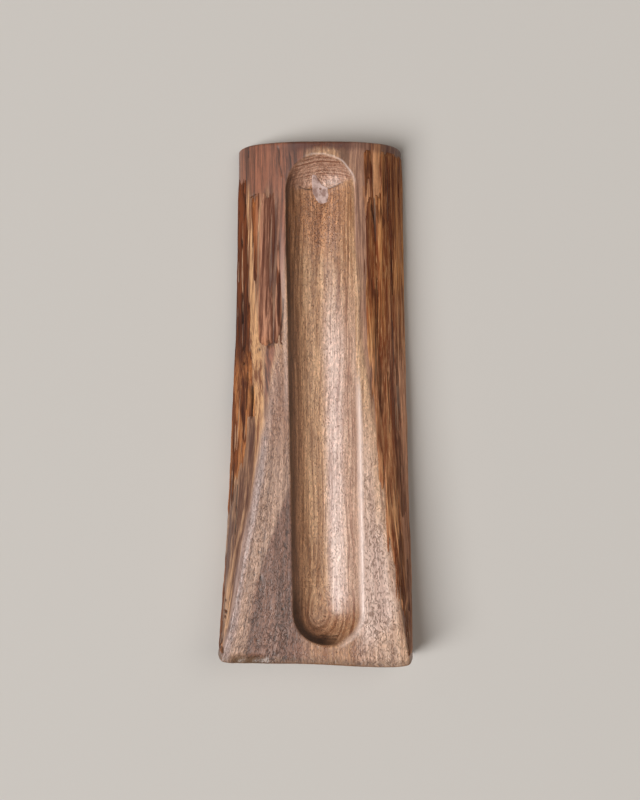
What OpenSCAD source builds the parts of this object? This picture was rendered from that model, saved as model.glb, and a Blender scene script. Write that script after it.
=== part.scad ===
// Live-edge tray: one length of a half-round log, planed flat on top, with a long round-bottomed
// trough for a row of crackers or a loaf of bread.
// Frame: +Z up, +Y towards the narrow end, origin at the centre of the underside.

/* [Tray] */
// Length from sawn end to sawn end
tray_length = 400; // [320:5:460]
// Width over the bare wood at the wide end
wide_width = 151; // [132:0.5:160]
// Width over the bare wood at the narrow end
narrow_width = 127; // [114:0.5:134]
// Thickness from the sawn underside to the planed top
tray_height = 42; // [36:1:48]

/* [Log] */
// How far the narrow end's middle lies right of the wide end's middle
narrow_shift = 3.5; // [0:0.5:8]
// How far the log's crest lies right of the middle at the narrow end
narrow_crest = 8; // [0:1:14]
// How far the log's crest lies right of the middle at the wide end
wide_crest = 4; // [0:1:10]
// Height of the widest line of the flanks above the underside at the narrow end
narrow_axis = 0; // [-10:1:8]
// Height of the widest line of the flanks above the underside at the wide end
wide_axis = 13; // [0:1:16]
// Share of the width that is planed flat at the narrow end
narrow_flat = 0.2; // [0.1:0.05:0.5]
// Share of the width that is planed flat at the wide end
wide_flat = 0.96; // [0.8:0.01:0.97]
// How far the narrow end is dressed back at its corners
narrow_bow = 2; // [1:1:8]
// How far the wide end is dressed back at its corners
wide_bow = 4; // [1:1:8]
// How far the wide end is cut short on the left
wide_skew = 2.8; // [0:0.2:4]

/* [Trough] */
// Width of the trough at the planed top
trough_width = 52; // [40:1:58]
// Depth of the trough below the planed top
trough_depth = 17; // [10:0.5:22]
// Wood left between the trough and the narrow end
narrow_margin = 10; // [6:1:30]
// Wood left between the trough and the wide end
wide_margin = 16; // [8:1:30]
// How far the trough's middle lies right of the frame's middle at the narrow end
trough_narrow_x = 3; // [-4:0.5:8]
// How far the trough's middle lies right of the frame's middle at the wide end
trough_wide_x = 9; // [-4:0.5:12]

/* [Inner bark] */
// Thickness of the inner bark left on the flanks
bark_thickness = 0.8; // [0.4:0.1:1.6]

/* [Knot] */
// Length of the filled knot along the grain
knot_length = 22; // [12:1:30]
// Width of the filled knot
knot_width = 12; // [8:1:20]
// Depth of the filler below the trough's floor
knot_depth = 5; // [2:0.5:10]
// Diameter of the pit in the middle of the filler
pit_diameter = 1.6; // [1:0.1:3]

/* [Hidden] */

wood = [0.63, 0.45, 0.32];
bark = [0.36, 0.20, 0.13];
putty = [0.74, 0.64, 0.56];

stations = 40;   // intervals between cross-sections along the log
overrun = 10;    // how far blanks and cutters run past what they meet
pit_depth = 2;
skew_start = -20;  // where the wide end starts to run out to full length
skew_run = 75;
trough_radius = (pow(trough_width / 2, 2) + pow(trough_depth, 2)) / (2 * trough_depth);
trough_axis_z = tray_height - trough_depth + trough_radius;
trough_narrow = [trough_narrow_x, tray_length / 2 - narrow_margin - trough_width / 2, trough_axis_z];
trough_wide = [trough_wide_x, -tray_length / 2 + wide_margin + trough_width / 2, trough_axis_z];
knot_centre = [trough_narrow_x + 1, trough_narrow[1] + 1];
floor_z = tray_height - trough_depth;

// Along the log, t runs from 0 at the narrow end to 1 at the wide end.
function blend(from, to, s) = from + (to - from) * s;
function left_edge(t) = blend(narrow_shift - narrow_width / 2, -wide_width / 2, pow(t, 1.9));
function right_edge(t) = blend(narrow_shift + narrow_width / 2, wide_width / 2, pow(t, 1.3));
function crest_x(t) = blend(wide_crest, narrow_crest, pow(1 - t, 2));
function axis_z(t) = blend(narrow_axis, wide_axis, t * t);
function flat_share(t) = blend(narrow_flat, wide_flat, t);
function crest_rise(t) = (tray_height - axis_z(t)) / sqrt(1 - pow(flat_share(t), 2));

// A point on a flank, which is a quarter ellipse. side is -1 for the left and 1 for the right, s runs
// from 0 at the underside to 1 at the planed top, and growth is how far it stands off the bare wood.
function flank_point(side, t, s, growth = 0) =
    let (
        h = max(0, min(1, t)),
        reach = side * ((side < 0 ? left_edge(h) : right_edge(h)) - crest_x(h)),
        rise = crest_rise(h),
        foot = asin(-axis_z(h) / rise),
        shoulder = asin((tray_height - axis_z(h)) / rise),
        a = blend(foot, shoulder, s)
    )
    [
        crest_x(h) + side * (reach + growth) * cos(a),
        tray_length * (0.5 - t),
        min(axis_z(h) + (rise + growth) * sin(a), tray_height)
    ];

// The lines that the edges of the bark follow, as s. On the left flank the bare strip between the outer
// band and the inner patch climbs to the planed top by mid length.
function climb(t) = pow(max(0, min(1, 1.85 * t)), 1.5);
function foot_line(t) = 0.06;
function left_band_line(t) = blend(0.20, 0.92, climb(t));
function left_patch_line(t) = blend(0.42, 0.96, climb(t));
function right_patch_line(t) = 0.95;

// Values of s up a flank, with so many steps between each pair of lines.
function marks(lines, steps) = [
    for (k = [0 : len(steps) - 1], i = [0 : steps[k] - 1]) blend(lines[k], lines[k + 1], i / steps[k]),
    lines[len(lines) - 1]
];
left_steps = [1, 4, 1, 4];
right_steps = [1, 7, 2];
function left_marks(t) = marks([0, foot_line(t), left_band_line(t), left_patch_line(t), 1], left_steps);
function right_marks(t) = marks([0, foot_line(t), right_patch_line(t), 1], right_steps);
function reversed(list) = [for (i = [len(list) - 1 : -1 : 0]) list[i]];

// A closed solid through rings of equally many points. Each ring goes up one side and comes back down
// the other, and the caps are ladders between the two sides.
module loft(rings) {
    count = len(rings[0]);
    last = (len(rings) - 1) * count;
    walls = [
        for (i = [0 : len(rings) - 2], j = [0 : count - 1])
            let (a = i * count + j, b = i * count + (j + 1) % count)
            each [[a, b, b + count], [a, b + count, a + count]]
    ];
    caps = [
        for (j = [0 : count / 2 - 2])
            let (k = count - 1 - j)
            each [
                [j, k, k - 1], [j, k - 1, j + 1],
                [last + j, last + k - 1, last + k], [last + j, last + j + 1, last + k - 1]
            ]
    ];
    polyhedron([for (ring = rings) each ring], concat(walls, caps), convexity = 4);
}

// The planed log, a little longer than the tray: up the left flank, then down the right one.
module planed_log() {
    margin = overrun / tray_length;
    loft([
        for (i = [0 : stations])
            let (t = i == 0 ? -margin : i == stations ? 1 + margin : i / stations)
            concat(
                [for (s = left_marks(t)) flank_point(-1, t, s)],
                [for (s = reversed(right_marks(t))) flank_point(1, t, s)]
            )
    ]);
}

// Everything between the two sawn ends, which are dressed back at the corners. The wide end is cut
// short on the left, and runs out to full length over the skew's run.
module between_ends() {
    half = wide_width / 2 + overrun / 4;
    turns = [-90 : 7.5 : 90];
    function dressed(out, bow) = bow * pow(out, 14);
    function soft(s) = let (c = max(0, min(1, s))) c * c * (3 - 2 * c);
    narrow_end = [
        for (a = turns)
            let (x = narrow_shift + half * sin(a))
            [x, tray_length / 2 - dressed(abs(x - narrow_shift) / (narrow_width / 2), narrow_bow)]
    ];
    wide_end = [
        for (a = turns)
            let (x = -half * sin(a), short = wide_skew * (1 - soft((x - skew_start) / skew_run)))
            [x, -tray_length / 2 + dressed(abs(x) / (wide_width / 2), wide_bow) + short]
    ];
    translate([0, 0, -overrun])
        linear_extrude(tray_height + 2 * overrun)
            polygon(concat(narrow_end, wide_end));
}

// A patch of bark on one flank, from station first to station last and from mark low to mark high.
module bark_patch(side, first, last, low, high) {
    function mark(t, k) = side < 0 ? left_marks(t)[k] : right_marks(t)[k];
    loft([
        for (i = [first : last])
            let (
                t = i / stations,
                inner = [for (k = [low : high]) flank_point(side, t, mark(t, k))],
                outer = [for (k = [low : high]) flank_point(side, t, mark(t, k), bark_thickness)]
            )
            side < 0 ? concat(outer, reversed(inner)) : concat(inner, reversed(outer))
    ]);
}

// A round bar with ball ends that lies along the trough.
module trough_cutter() {
    run = trough_wide - trough_narrow;
    length = norm(run);
    translate(trough_narrow)
        rotate([90, 0, atan2(run[0], -run[1])])
            rotate_extrude($fn = 96)
                intersection() {
                    union() {
                        circle(r = trough_radius, $fn = 96);
                        square([trough_radius, length]);
                        translate([0, length])
                            circle(r = trough_radius, $fn = 96);
                    }
                    translate([0, -2 * trough_radius])
                        square([2 * trough_radius, length + 4 * trough_radius]);
                }
}

// Ragged outline of the filled knot.
module knot_outline() {
    polygon([
        for (a = [0 : 15 : 345])
            [
                knot_width / 2 * (1 + 0.14 * sin(3 * a + 40)) * cos(a),
                knot_length / 2 * (1 + 0.10 * sin(2 * a - 30)) * sin(a)
            ]
    ]);
}

module knot_blank() {
    translate([knot_centre[0], knot_centre[1], floor_z - knot_depth])
        linear_extrude(knot_depth + trough_depth / 2)
            knot_outline();
}

module tray_body() {
    color(wood)
        difference() {
            intersection() {
                planed_log();
                between_ends();
            }
            trough_cutter();
            knot_blank();
        }
}

// The inner patch beside the trough stops abruptly at mid length. The outer band runs along the edge.
module left_inner_bark() {
    color(bark) {
        difference() {
            bark_patch(-1, 2, 15, 6, 10);
            trough_cutter();
        }
        bark_patch(-1, 2, 38, 1, 5);
    }
}

module right_inner_bark() {
    color(bark)
        bark_patch(1, 5, 38, 1, 8);
}

module knot_filler() {
    color(putty)
        difference() {
            knot_blank();
            trough_cutter();
            translate([knot_centre[0], knot_centre[1] + 2, floor_z - pit_depth])
                cylinder(h = pit_depth + overrun, d = pit_diameter, $fn = 24);
        }
}

tray_body();
left_inner_bark();
right_inner_bark();
knot_filler();
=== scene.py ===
"""Live-edge serving tray: a planed half log with a carved trough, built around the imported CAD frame.

Lengths are millimetres in the frame's axes (+Z up, +Y to the narrow end). Meshes are made in metres.
"""

import math

import bpy
import numpy as np
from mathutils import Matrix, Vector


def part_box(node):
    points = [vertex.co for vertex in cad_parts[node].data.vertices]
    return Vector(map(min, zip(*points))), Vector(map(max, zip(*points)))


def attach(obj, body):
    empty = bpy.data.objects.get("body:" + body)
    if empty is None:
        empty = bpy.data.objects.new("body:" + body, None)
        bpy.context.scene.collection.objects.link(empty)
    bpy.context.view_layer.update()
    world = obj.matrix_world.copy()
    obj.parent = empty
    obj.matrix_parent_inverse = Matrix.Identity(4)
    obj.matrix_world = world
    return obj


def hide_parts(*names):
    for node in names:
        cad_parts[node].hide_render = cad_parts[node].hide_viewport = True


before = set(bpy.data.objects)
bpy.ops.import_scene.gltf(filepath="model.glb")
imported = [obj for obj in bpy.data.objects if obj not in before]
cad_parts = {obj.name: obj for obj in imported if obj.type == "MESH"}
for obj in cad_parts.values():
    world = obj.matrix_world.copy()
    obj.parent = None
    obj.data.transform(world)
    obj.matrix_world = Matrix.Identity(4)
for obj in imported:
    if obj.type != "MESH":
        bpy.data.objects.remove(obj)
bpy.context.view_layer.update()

MM = 0.001

# ---- the tray's dimensions, as the CAD has them
body_low, body_high = (np.array(corner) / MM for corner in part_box("tray_body"))
LENGTH = 400.0
HEIGHT = body_high[2] - body_low[2]
WIDE_HALF, NARROW_HALF = 75.5, 63.5
NARROW_SHIFT = 3.5
NARROW_CREST, WIDE_CREST = 8.0, 4.0
NARROW_AXIS, WIDE_AXIS = 0.0, 13.0
NARROW_FLAT, WIDE_FLAT = 0.20, 0.96
NARROW_BOW, WIDE_BOW = 2.0, 4.0
WIDE_SKEW, SKEW_START, SKEW_RUN = 2.8, -20.0, 75.0
TROUGH_HALF, TROUGH_DEPTH = 26.0, 17.0
NARROW_MARGIN, WIDE_MARGIN = 10.0, 16.0
TROUGH_NARROW_X, TROUGH_WIDE_X = 3.0, 9.0
TROUGH_RADIUS = (TROUGH_HALF**2 + TROUGH_DEPTH**2) / (2 * TROUGH_DEPTH)
TROUGH_AXIS_Z = HEIGHT - TROUGH_DEPTH + TROUGH_RADIUS
TROUGH_TOP_Y = LENGTH / 2 - NARROW_MARGIN - TROUGH_HALF
TROUGH_FOOT_Y = -LENGTH / 2 + WIDE_MARGIN + TROUGH_HALF
KNOT_X, KNOT_Y = TROUGH_NARROW_X + 1, TROUGH_TOP_Y + 1

# ---- softened edges
ARRIS = 1.3
SHOULDER_SOFTNESS = 3.4
LEFT_RIM_SOFTNESS, RIGHT_RIM_SOFTNESS = 1.4, 5.0
TROUGH_FLARE = 0.06

# ---- mesh resolution
ROW_STEP, FINE_ROW_STEP, END_ROW_STEP = 1.9, 0.8, 1.2
ROW_SAMPLES, FLANK_SAMPLES = 4000, 500
FLANK_COLUMNS = 104
TROUGH_COLUMNS = 64
LIP_COLUMNS = 6
UNDER_COLUMNS = 36
END_ROWS = 14


# ======== small maths
def blend(a, b, s):
    return a + (b - a) * s


def smooth(value, low, high):
    """0 below low, 1 above high, smooth between."""
    s = np.clip((value - low) / (high - low), 0, 1)
    return s * s * (3 - 2 * s)


def fade(value, low, high):
    """1 below low, 0 above high, smooth between."""
    return 1 - smooth(value, low, high)


def soft_min(a, b, softness):
    """The smaller of a and b, rounded where they meet."""
    h = np.clip(0.5 + (b - a) / (2 * softness), 0, 1)
    return b + (a - b) * h - softness * h * (1 - h)


class Noise:
    """Smooth lattice noise from -1 to 1, the same on every run."""

    SIZE = 4096

    def __init__(self, seed):
        self.table = np.random.default_rng(seed).uniform(-1, 1, self.SIZE)

    def _at(self, i, j, k):
        return self.table[(i * 73856093 ^ j * 19349663 ^ k * 83492791) % self.SIZE]

    def __call__(self, x, y, z=0.0):
        x, y, z = np.broadcast_arrays(x, y, z)
        i, j, k = (np.floor(v).astype(np.int64) for v in (x, y, z))
        u, v, w = x - i, y - j, z - k
        u, v, w = (f * f * (3 - 2 * f) for f in (u, v, w))
        layers = [
            blend(
                blend(self._at(i, j, k + up), self._at(i + 1, j, k + up), u),
                blend(self._at(i, j + 1, k + up), self._at(i + 1, j + 1, k + up), u),
                v,
            )
            for up in (0, 1)
        ]
        return blend(layers[0], layers[1], w)


def layered(noise, x, y, z, octaves):
    """Several octaves of noise added up, each twice as fine and half as strong."""
    total, strength = 0.0, 1.0
    for octave in range(octaves):
        total = total + strength * noise(x * 2**octave, y * 2**octave, z * 2**octave + 7.3 * octave)
        strength *= 0.5
    return total


swell_noise = Noise(11)
fibre_noise = Noise(12)
tool_noise = Noise(13)
edge_noise = Noise(14)
bast_noise = Noise(15)
grain_noise = Noise(16)


def along_line(x, y, points):
    """Distance in plan from x, y to a line through points."""
    nearest = np.full(np.shape(x), 1e9)
    for (ax, ay), (bx, by) in zip(points[:-1], points[1:]):
        dx, dy = bx - ax, by - ay
        along = np.clip(((x - ax) * dx + (y - ay) * dy) / (dx * dx + dy * dy), 0, 1)
        nearest = np.minimum(nearest, np.hypot(x - ax - along * dx, y - ay - along * dy))
    return nearest


def stroke(x, y, points, width):
    """1 on a line through points, 0 from half a width away."""
    return fade(along_line(x, y, points), 0, width / 2)


def path_x(y, points):
    """The x of a line that is given as (y, x) points from the wide end to the narrow end."""
    ys, xs = zip(*points)
    return np.interp(y, ys, xs)


# ======== the log and the trough
def share(y):
    """0 at the narrow end, 1 at the wide end."""
    return np.clip(0.5 - y / LENGTH, 0, 1)


def left_edge(y):
    return blend(NARROW_SHIFT - NARROW_HALF, -WIDE_HALF, share(y) ** 1.9)


def right_edge(y):
    return blend(NARROW_SHIFT + NARROW_HALF, WIDE_HALF, share(y) ** 1.3)


def crest_x(y):
    return blend(WIDE_CREST, NARROW_CREST, (1 - share(y)) ** 2)


def axis_z(y):
    return blend(NARROW_AXIS, WIDE_AXIS, share(y) ** 2)


def crest_rise(y):
    flat = blend(NARROW_FLAT, WIDE_FLAT, share(y))
    return (HEIGHT - axis_z(y)) / np.sqrt(1 - flat**2)


def reach(side, y):
    """How far the log's natural surface reaches sideways from its crest, at its widest line."""
    return crest_x(y) - left_edge(y) if side < 0 else right_edge(y) - crest_x(y)


def reach_at(x, y):
    """The reach of the flank that a point lies on."""
    return np.where(x < crest_x(y), reach(-1, y), reach(1, y))


def on_log(side, y, angle):
    """The log's natural surface at an angle from its widest line: x and z."""
    x = crest_x(y) + side * reach(side, y) * np.cos(angle)
    return x, axis_z(y) + crest_rise(y) * np.sin(angle)


def log_height(x, y):
    """Height of the log's natural surface over x, y."""
    across = np.clip((x - crest_x(y)) / reach_at(x, y), -1, 1)
    return axis_z(y) + crest_rise(y) * np.sqrt(1 - across**2)


def foot_angle(y):
    return np.arcsin(-axis_z(y) / crest_rise(y))


def trough_x(y):
    """The trough's middle line."""
    s = (TROUGH_TOP_Y - y) / (TROUGH_TOP_Y - TROUGH_FOOT_Y)
    return blend(TROUGH_NARROW_X, TROUGH_WIDE_X, np.clip(s, 0, 1))


def trough_distance(x, y):
    """Distance in plan from the trough's middle line. The narrow end's half flares a little."""
    past = np.maximum(np.maximum(y - TROUGH_TOP_Y, TROUGH_FOOT_Y - y), 0)
    flare = 1 + TROUGH_FLARE * smooth(y, 60, 150)
    return np.hypot((x - trough_x(y)) / flare, past)


def trough_height(x, y):
    """Height of the trough's surface, far above the tray where there is no trough."""
    d = trough_distance(x, y)
    inside = np.sqrt(np.maximum(TROUGH_RADIUS**2 - d**2, 0))
    return TROUGH_AXIS_Z - inside + np.maximum(d - TROUGH_RADIUS * 0.98, 0) * 20


def dressing(x, y):
    """How far a sawn end is dressed back at x, fading out away from the end."""
    narrow = NARROW_BOW * (np.abs(x - NARROW_SHIFT) / NARROW_HALF) ** 14
    short = WIDE_SKEW * fade(x, SKEW_START, SKEW_START + SKEW_RUN)
    wide = WIDE_BOW * (np.abs(x) / WIDE_HALF) ** 14 + short
    near = smooth(y, LENGTH / 2 - 40, LENGTH / 2)
    far = smooth(-y, LENGTH / 2 - 30, LENGTH / 2)
    return wide * far - narrow * near


# ======== marks on the wood
PITH_X, PITH_Z = 4.0, -14.0
FOOT_FIGURE_X, FOOT_FIGURE_Y = 2.5, -161.0
# Long cracks and slots in the natural flanks and the planed face: plan points, width and depth.
FISSURES = [
    ([(-54.6, 163), (-54.2, 152), (-54.8, 143)], 1.8, 1.6),
    ([(-49, 14), (-48.2, 4), (-49.2, -8)], 4.4, 2),
    ([(-52.4, 24), (-51.8, 8), (-52.8, -4)], 1.8, 1.2),
    ([(-57, 86), (-56.6, 62)], 1.4, 1),
    ([(-23.8, 80), (-25.4, 62), (-26.6, 48)], 1.6, 0.6),
    ([(-28.4, 196), (-27.6, 186), (-25.6, 174)], 1.6, 0.9),
    ([(-51.6, 196), (-51.4, 191)], 1.2, 0.8),
    ([(-62.4, -46), (-63.6, -74)], 1.5, 0.9),
    ([(-60.2, -62), (-61.6, -92), (-61, -100)], 1.6, 0.9),
    ([(58.6, 118), (59.4, 84)], 1.3, 0.9),
    ([(62.4, 52), (63.2, 14)], 1.4, 1),
    ([(55.2, 24), (56.6, -22)], 1.2, 0.7),
    ([(64.6, -40), (66.6, -86)], 1.4, 0.9),
    ([(70.8, -120), (71.8, -158)], 1.6, 1.1),
    ([(47.2, 96), (47.8, 58)], 1.2, 0.7),
    ([(43.6, 152), (44.2, 140)], 1.4, 0.7),
    ([(-72.2, -168), (-73, -176)], 3, 1.8),
    ([(-73, -180), (-73.2, -187)], 3, 1.8),
    ([(-71.2, -188), (-71, -193)], 2.6, 1.6),
    ([(-58.6, 150), (-59, 118), (-58.4, 96)], 1.6, 1),
    ([(-56.4, 128), (-56, 104)], 1.2, 0.8),
]
# Patches on the right flank where the bark is gone and tan wood shows: plan points and width.
BARE_PATCHES = [
    ([(46.5, 200), (46, 180)], 11.5),
    ([(46, 180), (47.6, 158)], 7.5),
    ([(39.4, 163), (39.6, 152)], 9),
]
# Darker patches of inner bark on the right flank and on the left flank: plan points and width.
RIGHT_DARK_PATCHES = [
    ([(63, -32), (64.5, -60), (66.5, -86)], 8),
    ([(64.5, -106), (66.5, -150)], 9),
    ([(70, -160), (71.6, -190)], 7),
    ([(43, 142), (46, 148), (51, 140)], 7),
    ([(51, 192), (52, 165)], 8),
    ([(38, 186), (41, 170)], 4),
    ([(44, 86), (45, 40)], 7),
    ([(46, 38), (48.5, 0)], 8),
]
LEFT_DARK_PATCHES = [
    ([(-58, 178), (-57, 120), (-57, 52)], 13),
    ([(-49.6, 128), (-47, 92), (-46, 70)], 6),
    ([(-29, 112), (-28, 92), (-27, 58)], 3.5),
    ([(-62, 6), (-61, -30), (-63, -60)], 5),
    ([(-55, 20), (-54, -24)], 5),
    ([(-65, -60), (-65, -104)], 4),
]
# Worm holes and small pits: plan point, width and depth.
PITS = [
    ((-68.6, -150.6), 1.6, 1.4),
    ((-68.8, -158.6), 2.6, 2.2),
    ((-69.2, -162.6), 2, 1.8),
    ((-55.6, 43), 2.2, 1.2),
    ((-55, 31.6), 2.4, 1.4),
    ((-35.2, 46.2), 2.6, 1.6),
    ((-31.2, 47), 1.8, 1),
    ((-25.4, 46.4), 1.6, 0.9),
    ((-43, -112), 1.8, 0.6),
    ((-41.4, -132), 2.2, 0.7),
    ((-44.6, -180), 2, 0.7),
    ((-42.6, -141), 1.6, 0.5),
    ((-37.8, -139.6), 1.4, 0.5),
    ((-46.4, -128.6), 1.8, 0.6),
    ((-24.8, -155.6), 2.2, 0.4),
]
# Short nicks across the grain: plan points, width and depth.
NICKS = [
    ([(-49.8, 159.6), (-45.8, 161.6)], 1.5, 0.9),
    ([(-44.4, 41), (-41.6, 42.6)], 1.4, 0.7),
    ([(-39, -134.6), (-28.6, -134.4)], 0.9, 0.25),
]
# Thin cracks and tool marks inside the trough.
TROUGH_MARKS = [
    ([(4.4, -177), (11, -177.6), (17.3, -176.8)], 1.6, 0.5),
    ([(6, -179.4), (12, -179.8), (16.4, -179.1)], 1.3, 0.4),
    ([(-13, 167), (-8, 165.4), (-2, 165.2)], 1.5, 0.45),
    ([(10, 166), (15, 167.4), (20.5, 170.4)], 1.5, 0.45),
]
# The strip of bare sapwood on the left flank, as (y, x).
SAPWOOD_MIDDLE = [(-70, -47), (-30, -43.5), (3, -42.4), (45, -46), (79, -48.9), (120, -50.5), (160, -51.5)]
SAPWOOD_WIDTH = [(-70, 2), (-20, 5), (3, 7), (45, 7.2), (79, 5.2), (120, 3.4), (160, 2), (180, 0.5)]
# Where the grey-brown stain on the planed face starts, as (y, x).
STAIN_LEFT = [(-200, -55), (-180, -52.6), (-145, -48), (-104, -35.5), (-88, -29.5), (-66, -21), (-40, -12)]
# The right flank's inner bark is pinker outside this line, as (y, x).
RIGHT_OUTER_BAND = [(-200, 72), (-100, 66.5), (-40, 61), (20, 56), (90, 54), (200, 58)]
# Where the planed face ends and the flanks begin, as (y, x).
LEFT_BORDER = [
    (-200, -71), (-164, -62.5), (-128, -57.2), (-90, -49.6),
    (-57, -43.5), (0, -37.4), (56, -24), (200, -22),
]
RIGHT_BORDER = [
    (-200, 71), (-162, 67.4), (-139, 63.6), (-115, 59), (-92, 54.5),
    (-53, 49.2), (3, 43.9), (79, 38.6), (200, 38),
]


def sapwood_edges(y):
    """The left and right edge of the bare sapwood strip."""
    middle, width = path_x(y, SAPWOOD_MIDDLE), path_x(y, SAPWOOD_WIDTH)
    return middle - width / 2, middle + width / 2


def carved(marks, x, y):
    """Depth and darkness of a set of strokes."""
    depth, dark = np.zeros(np.shape(x)), np.zeros(np.shape(x))
    for points, width, deep in marks:
        line = stroke(x + 0.5 * edge_noise(x * 0.3, y * 0.12), y, points, width)
        depth = np.maximum(depth, deep * line)
        dark = np.maximum(dark, line)
    return depth, dark


def pitted(x, y):
    """Depth and darkness of the worm holes and pits."""
    depth, dark = np.zeros(np.shape(x)), np.zeros(np.shape(x))
    for (px, py), width, deep in PITS:
        hole = fade(np.hypot(x - px, (y - py) * 0.8), width * 0.25, width * 0.6)
        depth = np.maximum(depth, deep * hole)
        dark = np.maximum(dark, hole)
    return depth, dark


def fibre_relief(x, y, z):
    """Relief of the split, de-barked flanks: long ridges and furrows along the grain."""
    wander = 2.0 * swell_noise(x * 0.02, y * 0.012, z * 0.02)
    coarse = layered(fibre_noise, (x + wander) * 0.16, y * 0.008, z * 0.16, 2)
    fine = layered(fibre_noise, (x + wander) * 0.55, y * 0.018, z * 0.55 + 30, 3)
    ridged = 1 - 2 * np.abs(np.clip(fine, -1, 1))
    return 0.40 * coarse + 0.34 * ridged * (0.6 + 0.4 * coarse) - 0.25


def plane_relief(x, y):
    """The faint waviness of the planed top."""
    return 0.16 * swell_noise(x * 0.05, y * 0.02) + 0.05 * tool_noise(x * 0.4, y * 0.05)


def gouge_relief(x, y):
    """The shallow scallops that the gouge and scraper left in the trough."""
    across = x - trough_x(y)
    long_facets = 0.10 * tool_noise(across * 0.12, y * 0.016)
    scallops = 0.14 * tool_noise(across * 0.2, y * 0.16, 5.0) * smooth(np.abs(y), 120, 165)
    return long_facets + scallops


def natural_share(x, y):
    """1 on the log's natural surface, 0 where it was planed away."""
    waver = 1.0 * edge_noise(x * 0.06, y * 0.03) + 0.5 * edge_noise(x * 0.3, y * 0.08, 3.0)
    return fade(log_height(x, y) - HEIGHT + waver, -1.3, 0.9)


def sanded_share(x, y):
    """1 where the natural surface was sanded smooth, at the narrow end and beside the trough."""
    ragged = 9 * edge_noise(x * 0.35, y * 0.01, 9.0) + 4 * edge_noise(x * 1.1, y * 0.02, 4.0)
    left = smooth(y + ragged - 10 * smooth(-x, 46, 56), 150, 168) * smooth(-x, -10, 0)
    left = np.maximum(left, smooth(x + 0.2 * ragged, -30, -26) * fade(x, 0, 5))
    left = np.maximum(left, smooth(-y, -46, -42) * smooth(x + 0.2 * ragged, -40, -36) * fade(x, 0, 5))
    right = smooth(path_x(y, RIGHT_BORDER) + 2.5 - x + 0.3 * ragged, -1.5, 1.5) * smooth(x, 10, 20)
    return np.clip(np.maximum(left, right), 0, 1)


def wood_lift(x, y, z, in_trough):
    """How far the finished wood stands off the plain shape, its relief mask, and a dark mask that paints
    shade into its cracks, pits and trough marks.
    """
    natural = natural_share(x, y) * (1 - in_trough)
    planed = (1 - natural) * (1 - in_trough)
    rough = 1 - 0.75 * sanded_share(x, y)
    relief = fibre_relief(x, y, z)
    crack_depth, crack_dark = carved(FISSURES + NICKS, x, y)
    mark_depth, mark_dark = carved(TROUGH_MARKS, x, y)
    pit_depth, pit_dark = pitted(x, y)
    # The slots at the wide end's edge don't run down its upright wall
    shown = (1 - smooth(-y, 140, 155) * fade(z, 20, 29)) * (1 - in_trough)
    lift = natural * relief * rough + planed * plane_relief(x, y) + in_trough * gouge_relief(x, y)
    lift -= np.maximum(crack_depth, pit_depth) * shown + mark_depth * in_trough
    lift *= smooth(z, 0.0, 2.5) * smooth(LENGTH / 2 - np.abs(y), ARRIS * 0.9, 5)
    # Cracks, pits and trough marks are painted dark: painted shade inside them.
    dark = np.maximum(np.maximum(crack_dark, pit_dark) * shown, 0.8 * mark_dark * in_trough)
    return lift, np.clip(0.62 + 0.75 * relief, 0, 1), dark


def bare_share(x, y):
    """1 in the bare patches of the right flank."""
    return patches_share(BARE_PATCHES, x, y)


def corner_chip(x, y):
    """The broken arris near the wide end's left corner, 0 to 1."""
    lower = smooth(-y, LENGTH / 2 - 9, LENGTH / 2 - 2.5)
    chip = lower * smooth(-x, 34, 42) * fade(-x, 58, 66)
    return np.clip(chip * (0.8 + 0.3 * edge_noise(x * 0.25, y * 0.3)), 0, 1)


# ======== colour masks
def grain_lean(x, y):
    """How far the grain line through a point is bent sideways from straight."""
    fan = -0.19 * (y + 110) * smooth(-x, 5, 60) * fade(y, -40, 60)
    fan += 0.13 * (y + 80) * smooth(x, 30, 70) * fade(y, -40, 60)
    from_knot = np.hypot(x - KNOT_X, (y - KNOT_Y) * 0.6)
    around_knot = -3.0 * np.tanh((x - KNOT_X) / 5) * np.exp(-((from_knot / 15) ** 2))
    wander = 2.6 * grain_noise(x * 0.03, y * 0.013) + 0.9 * grain_noise(x * 0.1, y * 0.045, 2.0)
    return fan + around_knot + wander


def ring_count(x, y, z, in_trough):
    """How many growth rings lie between a point and the pith. Above the knot they arch over it."""
    around_log = 0.36 * np.hypot(x - PITH_X, z - PITH_Z) + 0.004 * y
    around_knot = 15.0 + 0.85 * (y - KNOT_Y) + 0.009 * (x - KNOT_X - 3) ** 2
    from_loop = y - FOOT_FIGURE_Y
    lengthened = from_loop * blend(0.95, 0.45, smooth(from_loop, -6, 6))
    around_foot = 22.0 + 0.30 * np.hypot((x - FOOT_FIGURE_X) * 1.3, lengthened)
    above = in_trough * smooth(y, KNOT_Y + 2, KNOT_Y + 8)
    below = in_trough * smooth(-y, 134, 142)
    rings = blend(blend(around_log, around_knot, above), around_foot, below)
    return rings + 0.25 * grain_noise(x * 0.08, y * 0.05, z * 0.08)


def patches_share(patches, x, y):
    """1 in a list of patches with torn ends, 0 outside."""
    torn_x = 1.2 * edge_noise(x * 0.35, y * 0.035, 12.0) + 0.7 * edge_noise(x * 1.1, y * 0.07, 14.0)
    torn_y = 9.0 * edge_noise(x * 0.7, y * 0.01, 16.0)
    strokes = [stroke(x + torn_x, y + torn_y, points, width) for points, width in patches]
    return np.maximum.reduce([smooth(line, 0.15, 0.45) for line in strokes])


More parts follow.
